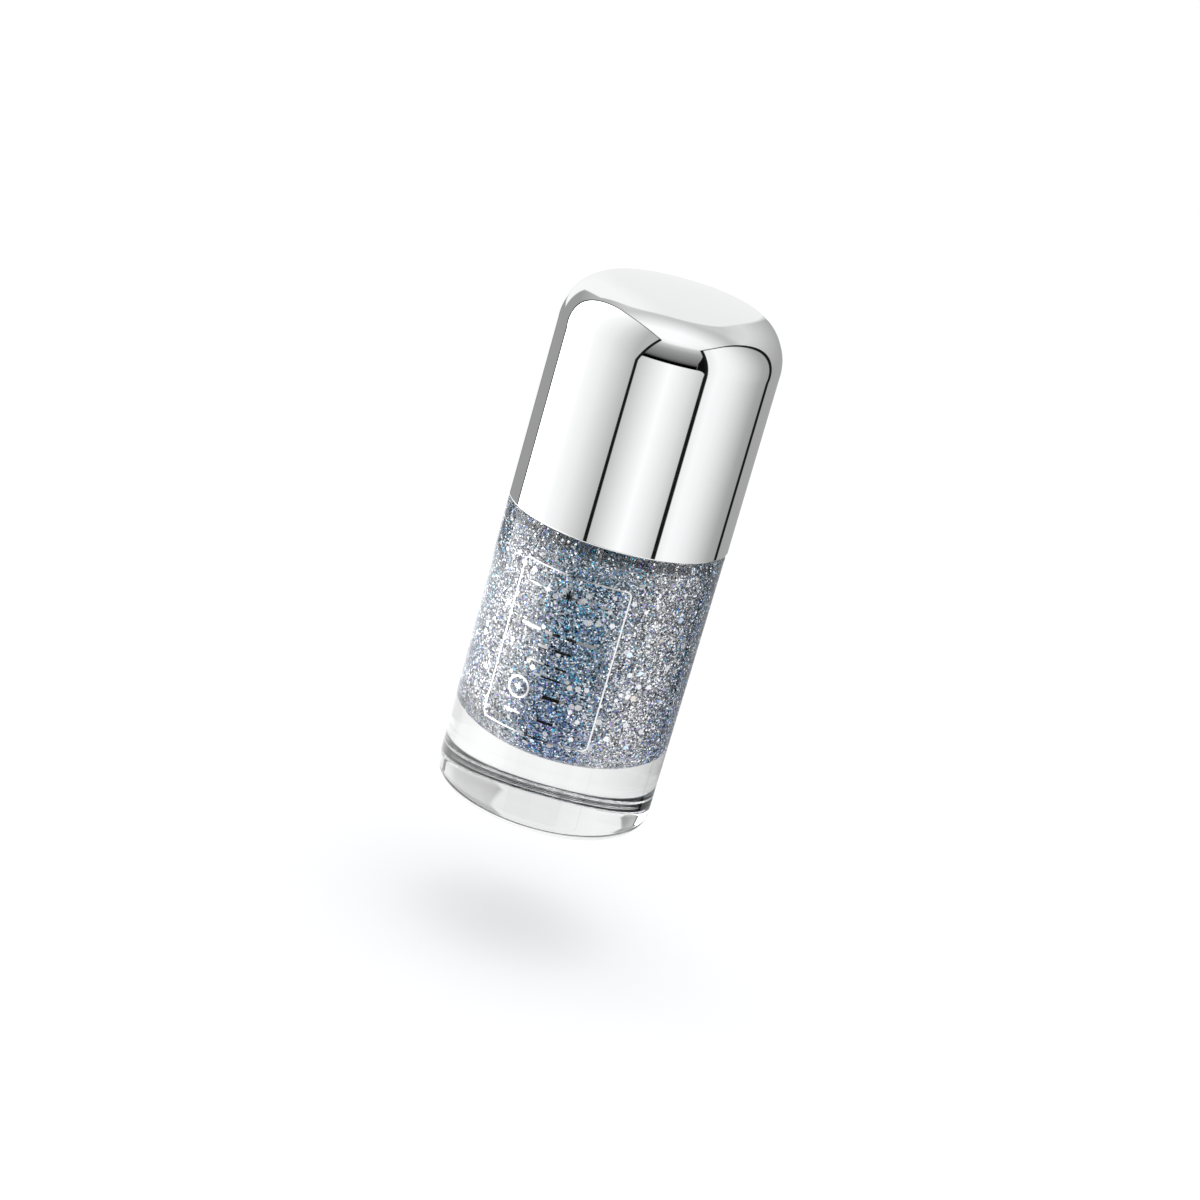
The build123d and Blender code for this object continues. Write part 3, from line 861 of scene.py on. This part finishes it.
def foil_mesh(name, patches):
    """Foil patches wrapped on the glass. A patch is (outer loop, inner loop, whether that is a hole)."""
    verts, faces, normals = [], [], []
    top_r, low_r = BOTTLE_R + FOIL, BOTTLE_R - FOIL_BURY

    def wrap(x, z, radius):
        return (x, -math.sqrt(radius**2 - x**2), z)

    def add_quad(points, radial):
        base = len(verts)
        verts.extend(p for p, _ in points)
        faces.append(tuple(range(base, base + len(points))))
        for p, flat_normal in points:
            normals.append((p[0] / top_r, p[1] / top_r, 0) if radial else flat_normal)

    for outer_loop, inner_loop, hole in patches:
        count = len(outer_loop)
        for k in range(count):
            n = (k + 1) % count
            a, b, c, d = outer_loop[k], outer_loop[n], inner_loop[n], inner_loop[k]
            ring = [a, b, c, d]
            ring = [p for i, p in enumerate(ring) if (Vector(p) - Vector(ring[i - 1])).length > TINY]
            if len(ring) >= 3:
                add_quad([(wrap(p[0], p[1], top_r), None) for p in ring], True)
            walls = [(b, a)] + ([(d, c)] if hole else [])
            for p, q in walls:
                along = Vector((q[0] - p[0], 0, q[1] - p[1]))
                side = along.cross(Vector((0, 1, 0))).normalized()
                add_quad([(wrap(*p, top_r), tuple(side)), (wrap(*q, top_r), tuple(side)),
                          (wrap(*q, low_r), tuple(side)), (wrap(*p, low_r), tuple(side))], False)
    obj = new_object(name, verts, faces)
    obj.data.polygons.foreach_set("use_smooth", [True] * len(obj.data.polygons))
    obj.data.normals_split_custom_set(normals)
    obj.data.materials.append(foil_mat)
    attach(obj, "bottle")
    return obj


def rounded_loop(width, tall, radius, centre_z):
    """Counter-clockwise loop of a rounded rectangle, with as many points for any inset."""
    loop = []
    for sx, sz, start in ((1, 1, 0), (-1, 1, 90), (-1, -1, 180), (1, -1, 270)):
        for k in range(13):
            a = math.radians(start + 90 * k / 12)
            loop.append((sx * (width / 2 - radius) + radius * math.cos(a),
                         centre_z + sz * (tall / 2 - radius) + radius * math.sin(a)))
    dense = []
    for a, b in zip(loop, loop[1:] + loop[:1]):
        steps = 60 if math.dist(a, b) > 3 else 1
        shares = [i / steps for i in range(steps)]
        dense += [(a[0] + (b[0] - a[0]) * f, a[1] + (b[1] - a[1]) * f) for f in shares]
    return dense


FRAME_W, FRAME_H, FRAME_CORNER, FRAME_LINE, FRAME_Z = 13.4, 20.4, 0.7, 0.17, 22.3
print_frame = foil_mesh("print_frame", [(
    rounded_loop(FRAME_W, FRAME_H, FRAME_CORNER, FRAME_Z),
    rounded_loop(FRAME_W - 2 * FRAME_LINE, FRAME_H - 2 * FRAME_LINE, FRAME_CORNER - FRAME_LINE, FRAME_Z),
    True)])
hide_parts("foil_frame")

HEAD_Z = 29.9           # the row of sparkles and flourishes at the top of the frame
RING_X, RING_Z, RING_OUT, RING_IN = -3.0, 17.4, 1.4, 1.14
RAY_FOOT, SHORT_RAY = 0.22, 0.55
patches = []
# sparkles with long and short rays
for x, z, reach in ((0.0, HEAD_Z, 1.4), (-2.7, HEAD_Z, 0.8), (2.7, HEAD_Z, 0.8), (RING_X, RING_Z, 0.75)):
    loop = []
    for k in range(16):
        length = reach * (RAY_FOOT if k % 2 else SHORT_RAY if k % 4 else 1.0)
        loop.append((x + length * math.cos(math.pi * k / 8), z + length * math.sin(math.pi * k / 8)))
    patches.append((loop, [(x, z)] * 16, False))
# pointed flourishes beside them
for way in (-1, 1):
    loop = [(way * 3.7, HEAD_Z), (way * 4.05, HEAD_Z + 0.15),
            (way * 5.5, HEAD_Z), (way * 4.05, HEAD_Z - 0.15)]
    if way > 0:
        loop.reverse()
    patches.append((loop, [(way * 4.3, HEAD_Z)] * 4, False))
# round-ended bars: middle x and z, length, thickness
for x, z, length, thick in (
        (-3.5, 25.0, 2.6, 0.36), (-0.7, 25.0, 2.0, 0.36), (2.8, 25.0, 3.6, 0.36), (-1.3, 23.2, 1.6, 0.36),
        (1.1, 23.2, 2.2, 0.36), (-1.2, 21.2, 2.6, 0.24), (1.4, 21.2, 1.4, 0.24), (0.0, 19.7, 3.6, 0.24),
        (1.4, 17.4, 2.6, 0.44), (-3.0, 14.4, 2.2, 0.24), (1.2, 14.4, 2.0, 0.36)):
    flat_half, r = (length - thick) / 2, thick / 2
    loop, spine = [], []
    for end, start in ((1, -90), (-1, 90)):
        for k in range(9):
            a = math.radians(start + 180 * k / 8)
            loop.append((x + end * flat_half + r * math.cos(a), z + r * math.sin(a)))
            spine.append((x + end * flat_half, z))
        if flat_half > 0.2:
            for k in range(1, 8):
                f = 1 - 2 * k / 8
                loop.append((x + end * flat_half * f, z + end * r))
                spine.append((x + end * flat_half * f, z))
    patches.append((loop, spine, False))
circle = [(math.cos(math.pi * k / 32), math.sin(math.pi * k / 32)) for k in range(64)]
patches.append(([(RING_X + RING_OUT * c, RING_Z + RING_OUT * d) for c, d in circle],
                [(RING_X + RING_IN * c, RING_Z + RING_IN * d) for c, d in circle], True))
print_marks = foil_mesh("print_marks", patches)
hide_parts("foil_marks")

# ---- Brush -----------------------------------------------------------------------

TUFT_TOP, TUFT_FOOT, TUFT_TIP, TUFT_ROOT, TUFT_BELLY = 28.4, 26.6, 13.45, 0.98, 1.8
HOLE_R, HOLE_Z, SLEEVE_R, STEM_R, TAPER_Z = 1.15, 29.8, 1.8, 2.1, 43.78
HEAD_R, HEAD_FOOT, HEAD_TOP = 3.55, 50.08, 51.28
rod_runs = rounded([
    (0, HOLE_Z, 0), (HOLE_R, HOLE_Z, 0.1), (HOLE_R, TUFT_FOOT, 0.12), (SLEEVE_R, TUFT_FOOT, 0.3),
    (SLEEVE_R, 31.6, 0.2), (1.55, 31.85, 0.3), (STEM_R, TAPER_Z, 2.0), (STEM_R, HEAD_FOOT, 0),
    (HEAD_R, HEAD_FOOT, 0.15), (HEAD_R, HEAD_TOP, 0.25), (0, HEAD_TOP, 0)], 0.5, 10)
rod, _ = lathe("brush_rod", rod_runs, 96)
rod.data.materials.append(stem_mat)
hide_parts("brush_stem")
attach(rod, "cap")

BELLY_AT, TIP_DRAW = 0.55, 0.42
GOLDEN = math.radians(137.508)
FILAMENTS, SIDES, STATIONS = 260, 6, 12
verts, faces = [], []
for number in range(FILAMENTS):
    share = math.sqrt((number + 0.5) / FILAMENTS)
    around_angle = number * GOLDEN
    thickness = random.uniform(0.045, 0.058)
    tip_z = TUFT_TIP + 1.3 * share**3 + random.uniform(0, 0.25)
    sway = random.uniform(-0.06, 0.06)
    base = len(verts)
    for station in range(STATIONS + 1):
        f = station / STATIONS
        z = TUFT_TOP + (tip_z - TUFT_TOP) * f
        below = max(0.0, (TUFT_FOOT - z) / (TUFT_FOOT - tip_z))
        bulge = TUFT_ROOT + (TUFT_BELLY - TUFT_ROOT) * math.sin(min(1.0, below / BELLY_AT) * math.pi / 2)
        if below > BELLY_AT:
            bulge -= TIP_DRAW * ((below - BELLY_AT) / (1 - BELLY_AT)) ** 2
        r = share * bulge
        cx = r * math.cos(around_angle + sway * below)
        cy = r * math.sin(around_angle + sway * below)
        width = thickness * (1 - 0.65 * max(0.0, (f - 0.8) / 0.2))
        for k in range(SIDES):
            a = 2 * math.pi * k / SIDES
            verts.append((cx + width * math.cos(a), cy + width * math.sin(a), z))
    for station in range(STATIONS):
        for k in range(SIDES):
            n = (k + 1) % SIDES
            p, q = base + station * SIDES, base + (station + 1) * SIDES
            faces.append((p + k, q + k, q + n, p + n))
    faces.append(tuple(base + k for k in range(SIDES)))
    faces.append(tuple(base + STATIONS * SIDES + k for k in reversed(range(SIDES))))
bristles = new_object("bristles", verts, faces)
bristles.data.polygons.foreach_set("use_smooth", [True] * len(bristles.data.polygons))
bristles.data.set_sharp_from_angle(angle=math.radians(70))
bristles.data.materials.append(bristle_mat)
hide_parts("bristle_tuft")
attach(bristles, "cap")

# ---- CAD pieces that stay ----------------------------------------------------------

for name, mat in (("inner_cap", closure_mat), ("sealing_liner", liner_mat), ("bristle_staple", steel),
                  ("mixing_balls", steel)):
    piece = nodes[name]
    piece.data.materials.clear()
    piece.data.materials.append(mat)
